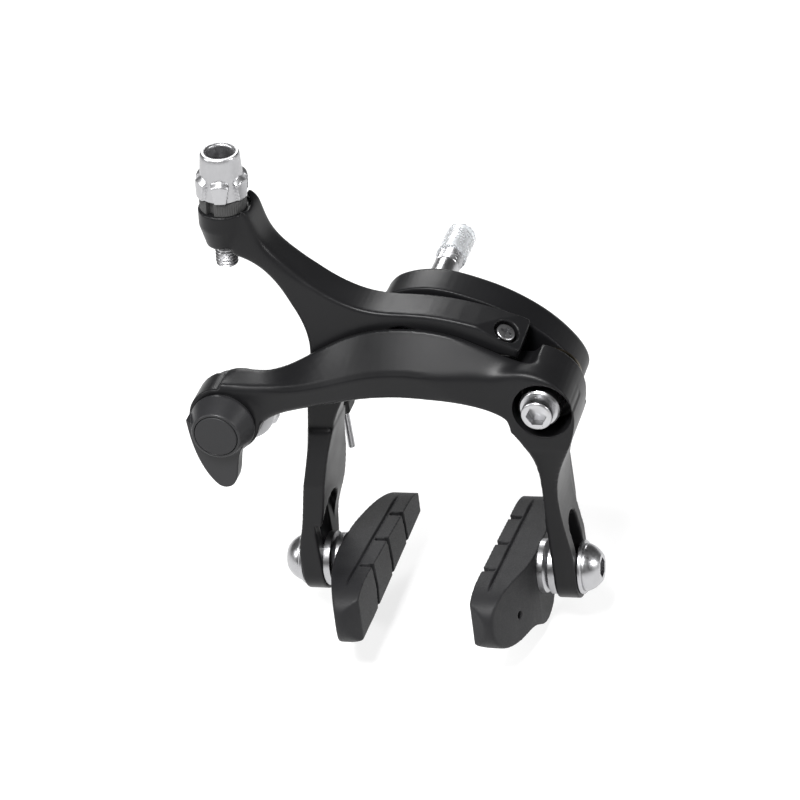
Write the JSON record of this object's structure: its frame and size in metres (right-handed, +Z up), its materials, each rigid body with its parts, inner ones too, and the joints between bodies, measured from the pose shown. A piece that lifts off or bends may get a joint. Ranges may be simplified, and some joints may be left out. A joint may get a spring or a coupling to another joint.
{
  "type": "dual pivot rim brake caliper",
  "caption": "Side-pull rim brake caliper: linked arms on a centre bolt, cable quick release, barrel adjuster, rubber shoes.",
  "frame": {"origin": "on the centre bolt's axis, in the plane where the rear washer bears on the fork crown or brake bridge", "axes": "+X to the right seen from the front, +Y back into the fork along the centre bolt, +Z up away from the shoes"},
  "size_m": [0.0863, 0.0753, 0.1187],
  "materials": {
    "arm_black": "satin black over forged aluminium",
    "bracket_black": "satin black",
    "bolt_steel": "plated, satin",
    "pivot_steel": "bright",
    "barrel_alloy": "satin anodised silver",
    "lever_black": "satin black",
    "cap_plastic": "fine grain",
    "holder_plastic": "matte",
    "ring_plastic": "matte",
    "pad_rubber": "moulded",
    "bushing_brass": "plain",
    "clear_cap": "translucent"
  },
  "bodies": {
    "bracket": {"rear_bracket": "bracket_black", "centre_bolt": "bolt_steel", "rear_seat_washer": "bolt_steel", "spring_holder": "holder_plastic", "return_spring": "bolt_steel", "rear_thrust_washer": "bushing_brass", "front_thrust_washer": "bolt_steel", "centre_nut": "bolt_steel", "side_pivot_bolt": "pivot_steel", "side_pivot_sleeve": "pivot_steel", "side_pivot_washer": "bushing_brass", "side_pivot_nut": "bolt_steel"},
    "rear_arm": {"rear_arm": "arm_black", "arm_bushing": "bushing_brass", "link_pin": "bolt_steel", "link_slider": "holder_plastic", "spring_slider_left": "holder_plastic"},
    "front_arm": {"front_arm": "arm_black", "spring_slider_right": "holder_plastic"},
    "quick_release": {"quick_release_lever": "lever_black", "lever_cap": "cap_plastic", "lever_washer": "bolt_steel", "anchor_carrier": "bolt_steel", "cable_clamp_plate": "bolt_steel", "cable_anchor_bolt": "bolt_steel"},
    "adjuster_ring": {"adjuster_detent_ring": "ring_plastic"},
    "adjuster": {"barrel_adjuster": "barrel_alloy"},
    "centring_screw": {"centring_screw": "bolt_steel"},
    "left_shoe": {"shoe_left": "pad_rubber", "shoe_stud_left": "bolt_steel", "convex_washer_left": "bolt_steel", "concave_washer_left": "bolt_steel", "flat_washer_left": "bolt_steel", "cap_nut_left": "bolt_steel"},
    "right_shoe": {"shoe_right": "pad_rubber", "shoe_stud_right": "bolt_steel", "convex_washer_right": "bolt_steel", "concave_washer_right": "bolt_steel", "flat_washer_right": "bolt_steel", "cap_nut_right": "bolt_steel"},
    "thread_cap": {"thread_cap": "clear_cap"}
  },
  "joints": [
    {"name": "rear_arm_pivot", "type": "hinge", "parent": "bracket", "child": "rear_arm", "pos_m": [0, -0.0193, 0], "axis": [0, -1, 0], "range_deg": [0, 5], "stiffness_Nm_per_rad": 3, "springref_deg": -17.19},
    {"name": "front_arm_pivot", "type": "hinge", "parent": "bracket", "child": "front_arm", "pos_m": [0.0296, -0.0193, -0.0102], "axis": [0, 1, 0], "range_deg": [0, 6.2]},
    {"name": "quick_release_turn", "type": "hinge", "parent": "front_arm", "child": "quick_release", "pos_m": [-0.041, -0.028, -0.013], "axis": [0, 1, 0], "range_deg": [0, 95]},
    {"name": "adjuster_travel", "type": "slide", "parent": "rear_arm", "child": "adjuster_ring", "axis": [0.1149, 0, 0.9934], "range_m": [0, 0.005]},
    {"name": "adjuster_turn", "type": "hinge", "parent": "adjuster_ring", "child": "adjuster", "pos_m": [-0.03675, -0.0205, 0.03], "axis": [0.1149, 0, 0.9934], "range_deg": [0, 2290]},
    {"name": "centring_turn", "type": "hinge", "parent": "rear_arm", "child": "centring_screw", "pos_m": [0.0224, -0.0207, 0.00405], "axis": [0.5468, -0.2479, 0.7997], "range_deg": [-180, 180]},
    {"name": "left_shoe_height", "type": "slide", "parent": "rear_arm", "child": "left_shoe", "axis": [0, 0, 1], "range_m": [0, 0.011]},
    {"name": "right_shoe_height", "type": "slide", "parent": "front_arm", "child": "right_shoe", "axis": [0, 0, 1], "range_m": [0, 0.011]},
    {"name": "cap_pull", "type": "slide", "parent": "bracket", "child": "thread_cap", "axis": [0, 1, 0], "range_m": [0, 0.045]}
  ],
  "couplings": [
    {"joint": "front_arm_pivot", "follows": "rear_arm_pivot", "ratio": 1.2222},
    {"joint": "adjuster_turn", "follows": "adjuster_travel", "rad_per_m": 7854}
  ]
}
